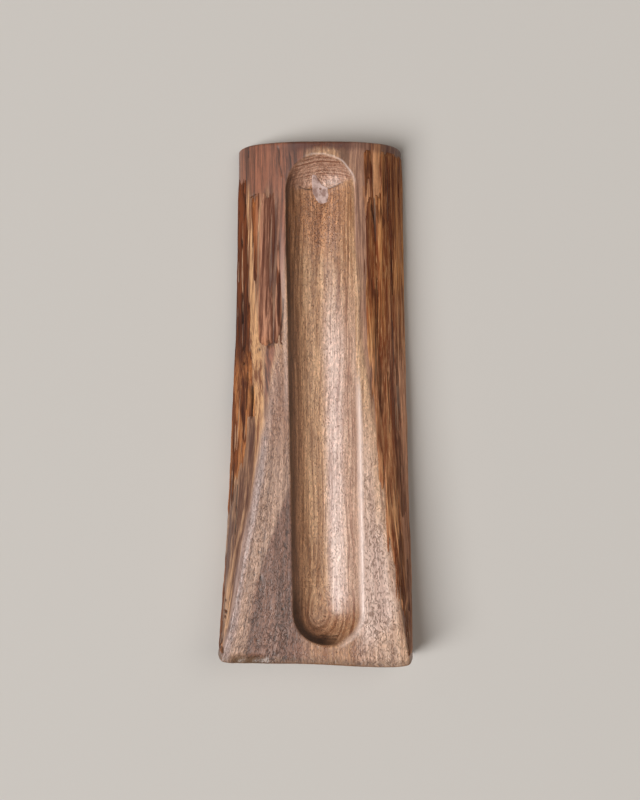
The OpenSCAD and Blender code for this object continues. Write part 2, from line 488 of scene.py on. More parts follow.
def trough_masks(x, y, in_trough):
    """Painted shade on the left wall, which faces away from the key light, with a darker painted shadow
    line below its rim; a painted highlight along the rim; and paler wood with a painted sheen on the
    floor's right side.
    """
    along = np.clip(y, TROUGH_FOOT_Y, TROUGH_TOP_Y)
    right_of, above = x - trough_x(y), y - along
    distance = np.maximum(trough_distance(x, y), 1e-6)
    # Painted shade: the wall darkens where it faces away from the key light, most towards the rim.
    facing = smooth(-(0.85 * right_of + 0.5 * above) / distance, 0.1, 0.8)
    painted_wall_shade = 0.6 * smooth(distance, 12, 19) + 0.4 * smooth(distance, 20, 24)
    painted_wall_shade *= in_trough * facing * blend(0.75, 1.0, smooth(y, 60, 120))
    # Painted shadow: a darker line just below the rim on the shaded side.
    low_facing = smooth(-(0.75 * right_of + 0.66 * above) / distance, 0.20, 0.80) * smooth(-y, 120, 160)
    high_facing = facing * blend(0.62, 1.0, smooth(y, 20, 90)) * fade(y, 160, 182)
    painted_rim_shadow = in_trough * np.maximum(
        smooth(distance, 17.5, 24.0) * low_facing, smooth(distance, 20.5, 25.0) * high_facing)
    # Painted highlight: a pale line along the rim where it rounds over.
    wavering = distance + 0.5 * edge_noise(x * 0.2, y * 0.05, 21.0)
    right_rim_highlight = fade(np.abs(wavering - 27.2), 0.5, 3.4) * smooth(right_of, 5, 17) * smooth(-y, -34, 0)
    right_rim_highlight *= 1 - 0.45 * smooth(-y, 150, 175)
    left_rim_highlight = fade(np.abs(wavering - 28.0), 0.6, 2.6) * smooth(-right_of, 14, 20) * smooth(y, -20, 10)
    left_rim_highlight *= 0.30 * fade(y, 90, 150)
    head_rim_highlight = 0.5 * fade(np.abs(wavering - 26.4), 0.2, 0.9)
    head_rim_highlight *= smooth(above, 2, 9) * smooth(right_of, -16, 0)
    # Paler wood with a painted sheen on the right side of the floor.
    wandering = right_of + 2.0 * edge_noise(x * 0.1, y * 0.02, 23.0)
    pale = in_trough * smooth(wandering, -3, 6) * (1 - 0.35 * smooth(wandering, 14, 18))
    return {
        "painted_wall_shade": np.clip(painted_wall_shade, 0, 1),
        "painted_rim_shadow": np.clip(painted_rim_shadow, 0, 1),
        "rim": np.clip(np.maximum.reduce([right_rim_highlight, left_rim_highlight, head_rim_highlight]), 0, 1),
        "floor_pale_and_sheen": np.clip(pale * smooth(-y, -130, -30) * fade(-y, 146, 172), 0, 1),
    }


def sapwood_share(x, y, ragged):
    """1 in the strip of bare sapwood on the left flank."""
    off_middle = np.abs(x - path_x(y, SAPWOOD_MIDDLE) + 0.4 * ragged)
    half = path_x(y, SAPWOOD_WIDTH) / 2
    return fade(off_middle, half - 0.5, half + 0.8) * smooth(-y, -175, -155) * smooth(y, -90, -30)


def plane_masks(x, y, ragged, planed):
    """The planed face's zones: ash-brown and stained on the left, pale on the lower right."""
    pale = planed * smooth(x, 25, 40) * smooth(-y, -20, 60) * blend(0.65, 1.0, smooth(-y, 70, 120))
    pale *= 1 - 0.55 * smooth(-y + 0.9 * (x - 50) + 3 * ragged, 162, 186)
    pale *= 1 - 0.65 * smooth(x - path_x(y, RIGHT_BORDER) + ragged, -10, -1)
    past_edge = (x - path_x(y, STAIN_LEFT) + 0.6 * ragged) / blend(1.0, 5.0, smooth(-y, 105, 160))
    stain = smooth(past_edge, -0.6, 1.0) * smooth(-y + 4 * ragged, 52, 80)
    return {
        "ash": planed * smooth(-x, 0, 20) * fade(y, 10, 60),
        "pale": pale,
        "stain": stain * planed * fade(x + 2 * ragged, -16, 0),
    }


def border_masks(x, y, ragged, outside):
    """The tints outside the trough: along both sawn ends and at the chip, and on the left shoulder paler
    wood with a painted highlight.
    """
    warm_end = smooth(y + 0.6 * ragged, LENGTH / 2 - 9, LENGTH / 2 - 4) * outside
    warm_end *= (1 - 0.8 * smooth(-x + ragged, 10, 22)) * (1 - 0.4 * smooth(x + ragged, 22, 30))
    # Paler wood with a painted highlight along the left shoulder, where the flank rounds into the planed
    # top.
    off_shoulder = x - path_x(y, LEFT_BORDER) + 0.3 * ragged
    shoulder = smooth(off_shoulder, -4.5, -1.0) * fade(off_shoulder, 2.5, 6) * fade(y, -60, 0)
    return {
        "end_band": warm_end,
        "wide_tint": smooth(-y + 0.8 * ragged, LENGTH / 2 - 7, LENGTH / 2 - 2) * outside,
        "chip": corner_chip(x, y),
        "shoulder": shoulder * outside,
    }


def colour_masks(x, y, z, in_trough):
    """The large colour zones of the wood, each from 0 to 1, and its rings and grain."""
    ragged = 1.6 * edge_noise(x * 0.3, y * 0.03, 1.0) + 0.8 * edge_noise(x * 0.9, y * 0.06, 2.0)
    outside = 1 - in_trough
    natural = natural_share(x, y) * outside
    planed = (1 - natural) * outside
    foot = in_trough * smooth(-y + ragged, 138, 168)
    head = in_trough * smooth(y, 168, 182)
    left_strip = planed * smooth(-x, 0, 20) * smooth(y, -60, 0)
    foot_strip = planed * smooth(-y + ragged, 172, 188) * fade(x, 34, 50) * smooth(x, -30, -10)
    off_knot = np.hypot(x - KNOT_X, (y - KNOT_Y + 13) * 0.50) + 1.2 * ragged
    above_knot = y - 0.12 * (x - KNOT_X) + 0.8 * ragged
    return {
        "natural": natural,
        "sanded": sanded_share(x, y) * natural,
        "sapwood": sapwood_share(x, y, ragged) * natural,
        "bare": bare_share(x, y) * natural,
        "right": smooth(x, 20, 30),
        "knot": in_trough * fade(off_knot, 10, 27),
        "head": in_trough * smooth(above_knot, KNOT_Y + 1, KNOT_Y + 5),
        "figure": np.clip(0.20 + 0.45 * foot + 0.34 * head, 0, 1),
        "shade": np.clip(0.8 * foot + 0.2 * head + 0.9 * foot_strip + 0.8 * left_strip, 0, 1),
        "rings": ring_count(x, y, z, in_trough),
        "lean": grain_lean(x, y),
        **plane_masks(x, y, ragged, planed),
        **border_masks(x, y, ragged, outside),
        **trough_masks(x, y, in_trough),
    }


def cut_masks(names, x, y, z, sawn, under):
    """Masks for the sawn ends and the underside, where only rings, rays and grain count."""
    masks = {name: np.zeros(np.shape(x)) for name in names}
    masks["rings"] = ring_count(x, y, z, 0.0)
    masks["lean"] = grain_lean(x, y)
    masks["spoke"] = np.arctan2(z - PITH_Z, x - PITH_X)
    radius = np.hypot((x - crest_x(y)) / reach_at(x, y), (z - axis_z(y)) / crest_rise(y))
    masks["outer"] = smooth(radius + 0.02 * edge_noise(x * 0.15, z * 0.15, 31.0), 0.80, 0.93)
    masks["sawn"] = np.full(np.shape(x), sawn)
    masks["under"] = np.full(np.shape(x), under)
    return masks


# ======== mesh helpers
def grid_faces(rows, columns, first=0):
    """Quads over a grid of points that are numbered along each row."""
    r, c = np.meshgrid(np.arange(rows - 1), np.arange(columns - 1), indexing="ij")
    a = (first + r * columns + c).ravel()
    return np.stack([a, a + 1, a + columns + 1, a + columns], 1)


def loop_faces(outer, inner):
    """Quads between two closed loops of equally many points."""
    o, i = np.asarray(outer), np.asarray(inner)
    return np.stack([o, np.roll(o, -1), np.roll(i, -1), i], 1)


def grid_normals(points):
    """Unit normals of a rows x columns x 3 grid whose rows run to -Y and columns to +X."""
    normal = np.cross(np.gradient(points, axis=0), np.gradient(points, axis=1))
    return normal / np.maximum(np.linalg.norm(normal, axis=2, keepdims=True), 1e-9)


def add_object(name, data):
    made = bpy.data.objects.new(name, data)
    bpy.context.scene.collection.objects.link(made)
    return made


def make_piece(name, points, faces, masks, material, replaced):
    """A mesh piece that rides on the root body and stands for a CAD node."""
    mesh = bpy.data.meshes.new(name)
    mesh.from_pydata((np.asarray(points) * MM).tolist(), [], [list(map(int, face)) for face in faces])
    for mask, values in masks.items():
        attribute = mesh.attributes.new(mask, "FLOAT", "POINT")
        attribute.data.foreach_set("value", np.asarray(values, np.float32))
    mesh.materials.append(material)
    mesh.polygons.foreach_set("use_smooth", np.ones(len(faces), bool))
    mesh.update()
    piece = add_object(name, mesh)
    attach(piece, "root")
    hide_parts(replaced)
    return piece


# ======== materials
def srgb(red, green, blue):
    """A linear colour from 0-255 display values."""
    channels = [c / 255 for c in (red, green, blue)]
    return tuple(c / 12.92 if c <= 0.04045 else ((c + 0.055) / 1.055) ** 2.4 for c in channels) + (1.0,)


class Graph:
    """A node tree, with short names for the nodes used here."""

    def __init__(self, tree):
        self.tree = tree

    def put(self, socket, value):
        """Link value to the socket if it is a socket too, or else set it there."""
        if isinstance(value, bpy.types.NodeSocket):
            self.tree.links.new(value, socket)
        else:
            socket.default_value = value

    def node(self, kind, inputs=None, **settings):
        """A new node with its settings. Its inputs are given by number or name, as values or as links."""
        node = self.tree.nodes.new("ShaderNode" + kind)
        for name, value in settings.items():
            setattr(node, name, value)
        for key, value in (inputs or {}).items():
            self.put(node.inputs[key], value)
        return node

    def band(self, value, low, high, to_low=0.0, to_high=1.0):
        """value mapped smoothly from low..high to to_low..to_high."""
        limits = {"Value": value, "From Min": low, "From Max": high, "To Min": to_low, "To Max": to_high}
        return self.node("MapRange", limits, interpolation_type="SMOOTHSTEP").outputs["Result"]

    def mix(self, factor, a, b):
        node = self.node("Mix", {"Factor": factor}, data_type="RGBA")
        colours = [socket for socket in node.inputs if socket.type == "RGBA"]
        self.put(colours[0], a)
        self.put(colours[1], b)
        return next(socket for socket in node.outputs if socket.type == "RGBA")


class Paint(Graph):
    """The node tree of one of the tray's materials."""

    def __init__(self, name):
        self.material = bpy.data.materials.new(name)
        self.material.use_nodes = True
        super().__init__(self.material.node_tree)
        self.shader = self.tree.nodes["Principled BSDF"]
        coordinates = self.node("TexCoord").outputs["Object"]
        self.place = self.vector("MULTIPLY", coordinates, (1 / MM, 1 / MM, 1 / MM))

    def vector(self, operation, a, b):
        return self.node("VectorMath", {0: a, 1: b}, operation=operation).outputs["Vector"]

    def math(self, operation, *values, clamp=False):
        inputs = dict(enumerate(values))
        return self.node("Math", inputs, operation=operation, use_clamp=clamp).outputs["Value"]

    def times(self, a, b, plus=0.0):
        """a * b + plus."""
        return self.math("MULTIPLY_ADD", a, b, plus)

    def mask(self, name):
        """A mask that the mesh carries."""
        return self.node("Attribute", attribute_type="GEOMETRY", attribute_name=name).outputs["Fac"]

    def shifted(self, place, sideways):
        """A place moved along X by a number."""
        return self.vector("ADD", place, self.node("CombineXYZ", {0: sideways}).outputs["Vector"])

    def noise(self, place, stretch, detail=3.0, roughness=0.55, distortion=0.0):
        """Fractal noise about 0.5. stretch is how many features there are per millimetre."""
        place = self.vector("MULTIPLY", place, stretch)
        inputs = {"Scale": 1.0, "Detail": detail, "Roughness": roughness, "Distortion": distortion}
        return self.node("TexNoise", {"Vector": place, **inputs}).outputs["Fac"]

    def rings(self, distance, detail=2.0):
        """Noise along one number, such as the distance from the log's pith."""
        inputs = {"W": distance, "Scale": 1.0, "Detail": detail}
        return self.node("TexNoise", inputs, noise_dimensions="1D").outputs["Fac"]

    def cells(self, place, stretch):
        """Distance to the nearest of scattered points."""
        inputs = {"Vector": self.vector("MULTIPLY", place, stretch), "Scale": 1.0}
        return self.node("TexVoronoi", inputs).outputs["Distance"]

    def shades(self, tone, dark, light):
        """A dark to light colour by tone, both in display values."""
        return self.mix(tone, srgb(*dark), srgb(*light))

    def over(self, colour, mask, strength, tint):
        """tint laid over colour where a mask is."""
        return self.mix(self.times(self.mask(mask), strength), colour, tint)

    def flecked(self, colour, value, low, high, strength, tint):
        """tint laid over colour where value is high."""
        return self.mix(self.band(value, low, high, 0.0, strength), colour, srgb(*tint))

    def zoned(self, colour, tone, zones):
        """Zones laid over colour one by one: each has a mask, a strength, and a dark and a light colour."""
        for mask, strength, dark, light in zones:
            colour = self.over(colour, mask, strength, self.shades(tone, dark, light))
        return colour

    def summed(self, total, parts):
        """total, plus each of the parts times its weight."""
        for part, weight in parts:
            total = self.times(part, weight, total)
        return total

    def finish(self, colour, roughness, height, depth, specular):
        """Plug the results into the shader. height is in millimetres times depth."""
        bump = self.node("Bump", {"Distance": depth * MM, "Strength": 1.0, "Height": height})
        results = {"Base Color": colour, "Roughness": roughness, "Normal": bump.outputs["Normal"]}
        for name, value in results.items():
            self.put(self.shader.inputs[name], value)
        self.shader.inputs["Specular IOR Level"].default_value = specular
        return self.material


# Zones of the planed top and the trough: mask, strength, dark and light colour.
WORKED_ZONES = [
    ("ash", 1.0, (108, 79, 64), (218, 178, 153)),
    ("pale", 1.0, (192, 156, 140), (248, 218, 202)),
    ("stain", 0.92, (82, 56, 46), (146, 104, 86)),
    ("knot", 0.85, (132, 80, 44), (196, 136, 90)),
    # Paler wood with a painted sheen on the right of the trough's floor.
    ("floor_pale_and_sheen", 0.65, (190, 156, 146), (228, 204, 196)),
    ("head", 0.85, (146, 100, 78), (220, 180, 158)),
    ("shade", 0.5, (138, 86, 60), (138, 86, 60)),
    # Painted shade on the trough's left wall, and a darker painted shadow just below its rim.
    ("painted_wall_shade", 0.92, (40, 13, 2), (136, 74, 30)),
    ("painted_rim_shadow", 0.94, (20, 9, 4), (20, 9, 4)),
]
# Zones at the borders of the planed top, and the underside.
BORDER_ZONES = [
    # Paler wood with a painted highlight along the left shoulder.
    ("shoulder", 0.8, (136, 110, 102), (196, 168, 160)),
    ("end_band", 0.92, (84, 30, 10), (84, 30, 10)),
    ("wide_tint", 0.6, (112, 82, 54), (112, 82, 54)),
    ("under", 1.0, (134, 92, 66), (188, 144, 112)),
]
# What lies over the pores and the figure: a painted highlight along the trough's rim, the broken corner,
# and painted shade in the cracks and holes.
TOP_ZONES = [
    ("rim", 0.72, (250, 224, 212), (250, 224, 212)),
    ("chip", 0.75, (96, 72, 46), (96, 72, 46)),
    ("dark", 0.92, (30, 17, 12), (30, 17, 12)),
]
BAST_ZONES = [
    ("pinkish", 0.85, (102, 58, 42), (214, 158, 128)),
    ("deep", 0.9, (46, 16, 6), (118, 58, 25)),
]


def flank_colour(paint, tone, streak):
    """The natural flanks where no inner bark is left."""
    ridge = paint.band(paint.times(streak, 0.75, paint.times(paint.mask("relief"), 0.45)), 0.46, 0.86)
    colour = paint.shades(ridge, (82, 38, 18), (218, 168, 126))
    sanded = paint.shades(tone, (62, 30, 18), (162, 100, 72))
    sanded = paint.zoned(sanded, tone, [("right", 1.0, (114, 72, 52), (208, 156, 126))])
    colour = paint.over(colour, "sanded", 1.0, sanded)
    sap = paint.shades(paint.band(streak, 0.38, 0.60), (124, 70, 36), (220, 168, 118))
    colour = paint.over(colour, "sapwood", 1.0, sap)
    return paint.zoned(colour, tone, [("bare", 1.0, (170, 108, 68), (232, 168, 116))])


def end_grain_colour(paint, ring, place):
    """The sawn ends and their cracks: growth rings about the pith, rays and a few drying cracks."""
    spoke = paint.mask("spoke")
    ray = paint.rings(paint.times(spoke, 90.0), 1.0)
    specks = paint.band(paint.cells(place, (1.3, 0.4, 1.3)), 0.14, 0.30, 0.5, 0.0)
    late = paint.band(ring, 0.38, 0.62)
    colour = paint.shades(late, (104, 68, 46), (152, 108, 78))
    colour = paint.zoned(colour, late, [("outer", 1.0, (140, 98, 70), (188, 144, 108))])
    colour = paint.flecked(colour, ray, 0.46, 0.66, 0.30, (190, 146, 110))
    colour = paint.mix(specks, colour, srgb(84, 54, 36))
    off_crack = paint.math("ABSOLUTE", paint.math("SUBTRACT", paint.rings(paint.times(spoke, 7.0)), 0.5))
    reached = paint.band(paint.rings(paint.times(spoke, 2.5)), 0.45, 0.60)
    crack = paint.times(paint.band(off_crack, 0.001, 0.006, 1.0, 0.0), reached)
    return paint.mix(paint.times(crack, 0.85), colour, srgb(52, 30, 20)), crack


def wood_tone(paint, streak, ring, planed):
    """How dark or light the wood's streaks and rings are, calmer on the planed top."""
    lines = paint.times(paint.math("SUBTRACT", ring, streak), paint.mask("figure"))
    sharp = paint.band(paint.math("ADD", streak, lines), 0.36, 0.64)
    return paint.times(paint.math("SUBTRACT", sharp, 0.5), paint.times(planed, -0.35, 1.0), 0.5)


def wood_marks(paint, place, dashes, planed):
    """Open pores, dots around the knot and curly figure."""
    pore = paint.band(paint.cells(dashes, (1.10, 0.30, 1.10)), 0.16, 0.36, 0.85, 0.0)
    dots = paint.band(paint.cells(dashes, (0.95, 0.62, 0.95)), 0.16, 0.44, 1.0, 0.0)
    curl = paint.band(paint.noise(dashes, (0.95, 0.21, 0.95), 2.0, 0.55, 0.45), 0.37, 0.50, 1.0, 0.0)
    patchy = paint.band(paint.noise(place, (0.11, 0.03, 0.11), 2.0), 0.34, 0.60, 0.45, 1.0)
    curl = paint.times(paint.times(curl, patchy), paint.times(planed, 0.40, 0.55))
    marks = paint.math("MAXIMUM", pore, curl)
    return paint.math("MAXIMUM", marks, paint.times(dots, paint.mask("knot")))


def figured(paint, colour, place, worked, planed):
    """Pale flecks and dark marks over a colour, as strong as worked says. Gives back the marks too."""
    dashes = paint.shifted(place, paint.times(paint.noise(place, (0.30, 0.18, 0.30), 2.0), 5.0))
    flecks = paint.band(paint.noise(dashes, (1.05, 0.22, 1.05), 2.0, 0.6, 0.4), 0.46, 0.66)
    flecks = paint.times(flecks, paint.times(paint.mask("pale"), -0.6, 1.0))
    light = paint.times(paint.times(flecks, worked), 0.42, 1.0)
    light = paint.node("CombineXYZ", {0: light, 1: light, 2: light}).outputs["Vector"]
    colour = paint.vector("MULTIPLY", colour, light)
    marks = paint.times(wood_marks(paint, place, dashes, planed), worked)
    shade = paint.mix(paint.times(marks, 0.88), (1.0, 1.0, 1.0, 1.0), (0.30, 0.23, 0.18, 1.0))
    return paint.vector("MULTIPLY", colour, shade), marks


def wood_material():
    """Brown heartwood in the trough, ash-brown and pale planes, natural flanks, sawn ends and underside."""
    paint = Paint("oiled_wood")
    natural, sawn, under = (paint.mask(name) for name in ("natural", "sawn", "under"))
    planed = paint.math("ADD", paint.mask("ash"), paint.mask("pale"), clamp=True)
    place = paint.shifted(paint.place, paint.mask("lean"))
    streak = paint.noise(place, (0.42, 0.014, 0.42), 5.0, 0.70)
    fibre = paint.noise(place, (1.5, 0.06, 1.5), 3.0, 0.65)
    broad = paint.noise(place, (0.05, 0.007, 0.05), 2.0)
    ring = paint.rings(paint.times(paint.noise(place, (0.05, 0.010, 0.05), 2.0), 2.0, paint.mask("rings")))
    tone = wood_tone(paint, streak, ring, planed)
    heart = paint.shades(tone, (138, 92, 59), (224, 181, 141))
    heart = paint.flecked(heart, broad, 0.40, 0.64, 0.4, (204, 160, 126))
    colour = paint.zoned(heart, tone, WORKED_ZONES)
    colour = paint.mix(natural, colour, flank_colour(paint, tone, streak))
    colour = paint.zoned(colour, tone, BORDER_ZONES)
    end_grain, crack = end_grain_colour(paint, ring, place)
    colour = paint.mix(sawn, colour, end_grain)
    colour = paint.flecked(colour, fibre, 0.50, 0.66, 0.42, (112, 70, 46))
    worked = paint.math("SUBTRACT", paint.times(natural, -0.75, 1.0), sawn, clamp=True)
    colour, marks = figured(paint, colour, place, worked, planed)
    colour = paint.zoned(colour, tone, TOP_ZONES)
    rough = paint.summed(0.0, [(fibre, 0.20), (natural, 0.16), (sawn, 0.22), (under, 0.20)])
    rough = paint.math("ADD", rough, 0.26, clamp=True)
    saw_marks = paint.times(paint.noise(paint.place, (0.9, 0.9, 0.05), 2.0), sawn)
    under_marks = paint.times(paint.noise(paint.place, (0.03, 0.8, 0.03), 2.0), under)
    height = paint.summed(0.0, [
        (fibre, 0.5), (streak, 0.4), (marks, -0.8), (saw_marks, 1.2), (under_marks, 1.2),
        (paint.times(crack, sawn), -2.0), (paint.times(streak, natural), 1.6),
    ])
    paint.shader.inputs["Coat Weight"].default_value = 0.30
    paint.shader.inputs["Coat Roughness"].default_value = 0.34
    return paint.finish(colour, rough, height, 0.25, 0.6)


def bast_material():
    """Reddish brown to golden fibres, worn pale on the ridges and dark in the furrows."""
    paint = Paint("inner_bark")
    place = paint.shifted(paint.place, paint.mask("lean"))
    streak = paint.noise(place, (0.5, 0.014, 0.5), 5.0, 0.70)
    fibre = paint.noise(place, (1.7, 0.035, 1.7), 3.0, 0.65)
    patchy = paint.noise(place, (0.09, 0.014, 0.09), 3.0)
    worn = paint.band(paint.times(streak, 0.8, paint.times(paint.mask("relief"), 0.4)), 0.45, 0.78)
    colour = paint.shades(worn, (72, 28, 10), (172, 100, 52))
    colour = paint.flecked(colour, fibre, 0.54, 0.66, 0.6, (198, 128, 74))
    golden = paint.shades(worn, (160, 82, 40), (255, 186, 120))
    golden = paint.flecked(golden, fibre, 0.53, 0.64, 0.7, (255, 204, 146))
    colour = paint.over(colour, "golden", 1.0, golden)
    colour = paint.zoned(colour, worn, BAST_ZONES)
    colour = paint.flecked(colour, patchy, 0.54, 0.66, 0.5, (78, 36, 18))
    colour = paint.mix(paint.band(fibre, 0.33, 0.44, 0.6, 0.0), colour, srgb(48, 20, 10))
    # Painted shade in the bark's cracks and at its torn edges, where it sinks into the wood.
    colour = paint.over(colour, "dark", 0.92, srgb(26, 15, 10))
    height = paint.times(streak, 1.6, paint.times(fibre, 0.9))
    return paint.finish(colour, paint.times(fibre, 0.25, 0.45), height, 0.35, 0.22)


def filler_material():
    """Cloudy pale grey with a little brown grit."""
    paint = Paint("knot_filler")
    cloud = paint.noise(paint.place, (0.22, 0.16, 0.22), 3.0, 0.6)
    grit = paint.noise(paint.place, (1.5, 0.5, 1.5), 2.0)
    colour = paint.shades(paint.band(cloud, 0.38, 0.62), (152, 122, 112), (202, 176, 168))
    colour = paint.flecked(colour, grit, 0.54, 0.70, 0.35, (128, 92, 76))
    # Painted shade in the filler's pit.
    colour = paint.over(colour, "dark", 0.95, srgb(34, 22, 18))
    return paint.finish(colour, paint.times(grit, 0.2, 0.45), paint.math("ADD", cloud, grit), 0.12, 0.4)


# ======== the wooden body
def row_positions():
    """Rows along the tray, close together at the trough's round ends."""
    y = np.linspace(-LENGTH / 2 + ARRIS, LENGTH / 2 - ARRIS, ROW_SAMPLES)
    round_end = (np.abs(y - (TROUGH_TOP_Y + 8)) < 22) | (np.abs(y - (TROUGH_FOOT_Y - 8)) < 22)
    step = np.where(round_end, FINE_ROW_STEP, ROW_STEP)
    step = np.where(LENGTH / 2 - np.abs(y) < 10, END_ROW_STEP, step)
    count = np.concatenate([[0], np.cumsum((y[1] - y[0]) / step[1:])])
    rows = int(round(count[-1])) + 1
    return np.interp(np.linspace(0, count[-1], rows), count, y)[::-1]


def evened(a, b, count, weight=1.0):
    """count points spread evenly along a line of points that are given as two rows of coordinates."""
    length = np.concatenate([[0], np.cumsum(np.hypot(np.diff(a), np.diff(b)) * weight)])
    even = np.linspace(0, length[-1], count)
    return np.interp(even, length, a), np.interp(even, length, b)


def flank_chain(side, y, stop_x):
    """Points up a flank and over to stop_x, evenly spaced but closer together at the foot."""
    last = np.arccos(np.clip((stop_x - crest_x(y)) * side / reach(side, y), -1, 1))
    x, z = on_log(side, y, np.linspace(foot_angle(y), last, FLANK_SAMPLES))
    z = soft_min(z, HEIGHT, SHOULDER_SOFTNESS)
    z[0] = 0.0
    inset = ARRIS - np.sqrt(np.maximum(ARRIS**2 - np.maximum(ARRIS - z, 0) ** 2, 0))
    x = x - side * inset
    weight = 1 + 3 * (z < 2 * ARRIS)
    return evened(x, z, FLANK_COLUMNS, weight[1:])


def trough_offsets():
    """Columns across the trough and its lips, as distances from its middle line."""
    steepest = math.asin(TROUGH_HALF / TROUGH_RADIUS)
    bowl = TROUGH_RADIUS * np.sin(np.linspace(-steepest, steepest, TROUGH_COLUMNS))
    lip = np.linspace(0, 4.5, LIP_COLUMNS + 1)[1:]
    return np.concatenate([-TROUGH_HALF - lip[::-1], bowl, TROUGH_HALF + lip])


def body_rows():
    """The top surface before its fine detail: rows x columns x 3."""
    offsets = trough_offsets()
    rows = []
    for y in row_positions():
        x_mid = trough_x(y) + offsets
        z_mid = soft_min(log_height(x_mid, y), HEIGHT, SHOULDER_SOFTNESS)
        x_left, z_left = flank_chain(-1, y, x_mid[0])
        x_right, z_right = flank_chain(1, y, x_mid[-1])
        x = np.concatenate([x_left[:-1], x_mid, x_right[-2::-1]])
        z = np.concatenate([z_left[:-1], z_mid, z_right[-2::-1]])
        rows.append(np.stack([x, np.full(len(x), y), z], 1))
    return np.array(rows)


def body_surface():
    """The finished top surface and its masks, each rows x columns."""
    points = body_rows()
    x, y, z = (points[..., i].copy() for i in range(3))
    bowl = trough_height(x, y)
    in_trough = smooth(z - bowl, -0.6, 1.2)
    wander = 0.35 * edge_noise(x * 0.05, y * 0.05)
    rightness = smooth(x, -10, 25) * (1 - 0.5 * smooth(y, 100, 170))
    softness = blend(LEFT_RIM_SOFTNESS, RIGHT_RIM_SOFTNESS, rightness)
    points[..., 2] = np.where(z > 3, soft_min(z, bowl + wander, softness), z)
    lift, relief, dark = wood_lift(x, y, z, in_trough)
    lift -= 2.4 * corner_chip(x, y) * smooth(z, HEIGHT - 12, HEIGHT - 4)
    points += lift[..., None] * grid_normals(points)
    points[..., 1] += dressing(points[..., 0], points[..., 1])
    points[:, [0, -1], 2] = 0.0
    masks = colour_masks(x, y, z, in_trough)
    masks["relief"] = relief
    masks["dark"] = dark
    for name in ("sawn", "under", "outer", "spoke"):
        masks[name] = np.zeros(np.shape(x))
    return points, masks


class Shell:
    """Points, masks and faces that are gathered strip by strip for one mesh."""

    def __init__(self):
        self.points, self.masks, self.faces = [], [], []
        self.count = 0

    def add(self, points, masks):
        """Add points with their masks and give back their numbers, in the shape of the masks."""
        shape = np.shape(points)[:-1]
        self.points.append(np.reshape(points, (-1, 3)))
        self.masks.append({name: np.broadcast_to(value, shape).ravel() for name, value in masks.items()})
        ids = self.count + np.arange(int(np.prod(shape))).reshape(shape)
        self.count += ids.size
        return ids

    def strip(self, first, second, flip):
        """Quads between two rows of equally many numbered points. A repeated point makes a triangle."""
        for a, b, c, d in zip(first[:-1], first[1:], second[1:], second[:-1]):
            face = list(dict.fromkeys([int(a), int(b), int(c), int(d)]))
            self.faces.append(face[::-1] if flip else face)

    def knit(self, first, second, flip):
        """Triangles between two rows of numbered points that share both ends but differ in number."""
        i, j = 0, 0
        while i < len(first) - 1 or j < len(second) - 1:
            if (i + 1) * (len(second) - 1) <= (j + 1) * (len(first) - 1):
                face = (first[i], first[i + 1], second[j])
                i += 1
            else:
                face = (first[i], second[j + 1], second[j])
                j += 1
            face = list(dict.fromkeys(int(number) for number in face))
            if len(face) == 3:
                self.faces.append(face[::-1] if flip else face)


def resampled(row, count):
    """count points spread evenly by number along a row of points."""
    steps = np.linspace(0, len(row) - 1, count)
    return np.stack([np.interp(steps, np.arange(len(row)), row[:, i]) for i in range(3)], 1)


def end_arris(shell, loop, loop_ids, masks, end_sign):
    """Round the edge from a closed loop to the sawn end, and give back the last loop and its numbers."""
    forward = np.roll(loop, -1, 0) - np.roll(loop, 1, 0)
    inward = np.stack([forward[:, 2], np.zeros(len(loop)), -forward[:, 0]], 1)
    inward /= np.maximum(np.linalg.norm(inward, axis=1, keepdims=True), 1e-9)
    for turn in np.linspace(0, math.pi / 2, 5)[1:]:
        ring = loop + inward * ARRIS * (1 - math.cos(turn))
        ring[:, 1] = loop[:, 1] + end_sign * ARRIS * math.sin(turn)
        masks["sawn"] = np.full(len(loop), 2 * turn / math.pi)
        ids = shell.add(ring, masks)
        shell.strip(np.append(loop_ids, loop_ids[0]), np.append(ids, ids[0]), end_sign > 0)
        loop_ids = ids
    return ring, loop_ids


def end_face(shell, rim, rim_ids, columns, end_sign):
    """Close a sawn end with a grid that carries its growth rings and saw marks."""
    top, top_ids = rim[:columns], rim_ids[:columns]
    foot_order = np.concatenate([[0], np.arange(len(rim) - 1, columns - 1, -1), [columns - 1]])
    foot, foot_ids = rim[foot_order], rim_ids[foot_order]
    top_sparse = resampled(top, len(foot))
    end_y = end_sign * (LENGTH / 2 - ARRIS)
    row_ids = top_ids
    for s in np.linspace(0, 1, END_ROWS + 2)[1:-1]:
        row = blend(top_sparse, foot, s)
        x, z = row[:, 0], row[:, 2]
        saw = 0.10 * tool_noise(x * 0.35, z * 0.04, end_sign)
        row[:, 1] = end_y + end_sign * (ARRIS + saw) + dressing(x, np.full(len(x), end_y))
        masks = cut_masks(shell.masks[0], x, np.full(len(x), end_y), z, 1.0, 0.0)
        inner = shell.add(row[1:-1], {name: value[1:-1] for name, value in masks.items()})
        ids = np.concatenate([top_ids[:1], inner, top_ids[-1:]])
        if row_ids is top_ids:
            shell.knit(row_ids, ids, end_sign > 0)
        else:
            shell.strip(row_ids, ids, end_sign > 0)
        row_ids = ids
    shell.strip(row_ids, foot_ids, end_sign > 0)


